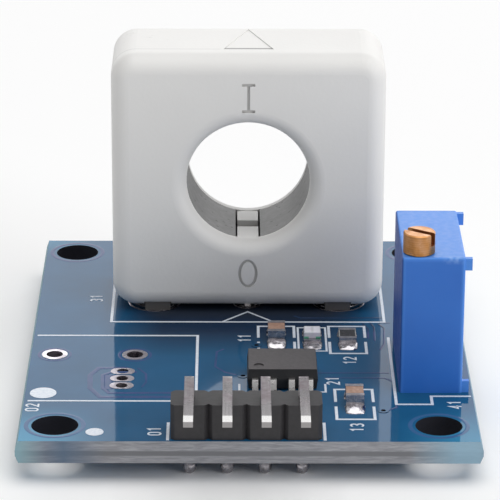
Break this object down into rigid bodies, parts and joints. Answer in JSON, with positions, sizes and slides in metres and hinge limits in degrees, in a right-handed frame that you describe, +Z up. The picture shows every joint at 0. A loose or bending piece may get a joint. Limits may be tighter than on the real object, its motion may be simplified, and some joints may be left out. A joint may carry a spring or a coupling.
{
  "type": "hall effect current sensor",
  "caption": "Current sensor breakout board: square housing with a through bore and gapped ring core, comparator, adjusting trimmer and right-angle pin header.",
  "frame": {"origin": "midway between the four fixing holes, on the underside of the board", "axes": "+X to the right seen from the pin header, +Y from the pin header towards the sensor housing, +Z up out of the side that carries the parts"},
  "size_m": [0.0314, 0.0444, 0.0227],
  "materials": {
    "solder_mask": "blue solder mask over glass-epoxy board, glossy",
    "legend_print": "white printed ink",
    "tinned_copper": "tinned copper pad",
    "tinned_pins": "tin-plated square pin, satin",
    "tinned_leads": "tin-plated lead, satin",
    "solder": "bright solder",
    "header_plastic": "black moulded plastic, satin",
    "housing_plastic": "white moulded plastic, semi-gloss",
    "core_metal": "grey magnetic metal with fine dark specks",
    "package_plastic": "dark moulded epoxy, matt",
    "trimmer_plastic": "blue moulded plastic, satin",
    "sealing_resin": "pale sealing resin",
    "screw_brass": "turned brass",
    "seal_rubber": "black rubber",
    "wheel_plastic": "white moulded plastic",
    "wiper_metal": "thin spring metal",
    "alumina": "white alumina",
    "resistance_film": "dark fired resistance film",
    "capacitor_ceramic": "tan ceramic",
    "chip_terminals": "plated end cap",
    "resistor_glass": "black glass coat",
    "led_plastic": "white moulded base",
    "led_resin": "clear cast resin, milky"
  },
  "bodies": {
    "sensor_board": {"capacitor_1_body": "capacitor_ceramic", "capacitor_1_terminals": "chip_terminals", "capacitor_2_body": "capacitor_ceramic", "capacitor_2_terminals": "chip_terminals", "chip_solder": "solder", "circuit_board": "solder_mask", "comparator_body": "package_plastic", "comparator_leads": "tinned_leads", "comparator_solder": "solder", "flux_core": "core_metal", "hall_element": "package_plastic", "hall_leg_1": "tinned_leads", "hall_leg_2": "tinned_leads", "hall_leg_3": "tinned_leads", "hall_solder": "solder", "header_block": "header_plastic", "header_pin_1": "tinned_pins", "header_pin_2": "tinned_pins", "header_pin_3": "tinned_pins", "header_pin_4": "tinned_pins", "header_solder": "solder", "led_base": "led_plastic", "led_lens": "led_resin", "led_terminals": "chip_terminals", "printed_legend": "legend_print", "resistor_body": "alumina", "resistor_film": "resistor_glass", "resistor_terminals": "chip_terminals", "sensor_front_shell": "housing_plastic", "sensor_post_left": "tinned_leads", "sensor_post_right": "tinned_leads", "sensor_post_solder": "solder", "sensor_rear_shell": "housing_plastic", "spare_sensor_pads": "tinned_copper", "trimmer_base": "sealing_resin", "trimmer_case": "trimmer_plastic", "trimmer_collector": "wiper_metal", "trimmer_element": "alumina", "trimmer_pin_1": "tinned_leads", "trimmer_pin_2": "tinned_leads", "trimmer_pin_3": "tinned_leads", "trimmer_screw_seal": "seal_rubber", "trimmer_solder": "solder", "trimmer_track": "resistance_film", "vias": "solder_mask"},
    "adjusting_screw": {"trimmer_screw": "screw_brass"},
    "wiper_wheel": {"trimmer_wheel": "wheel_plastic", "trimmer_wiper": "wiper_metal"}
  },
  "joints": [
    {"name": "screw_turn", "type": "hinge", "parent": "sensor_board", "child": "adjusting_screw", "pos_m": [0.0118, -0.0096, 0.01168], "axis": [0, 0, 1], "range_deg": [-4500, 4500]},
    {"name": "wheel_turn", "type": "hinge", "parent": "sensor_board", "child": "wiper_wheel", "pos_m": [0.0118, -0.00625, 0.0065], "axis": [1, 0, 0], "range_deg": [-141, 141]}
  ],
  "couplings": [
    {"joint": "wheel_turn", "follows": "screw_turn", "ratio": 0.03125}
  ]
}
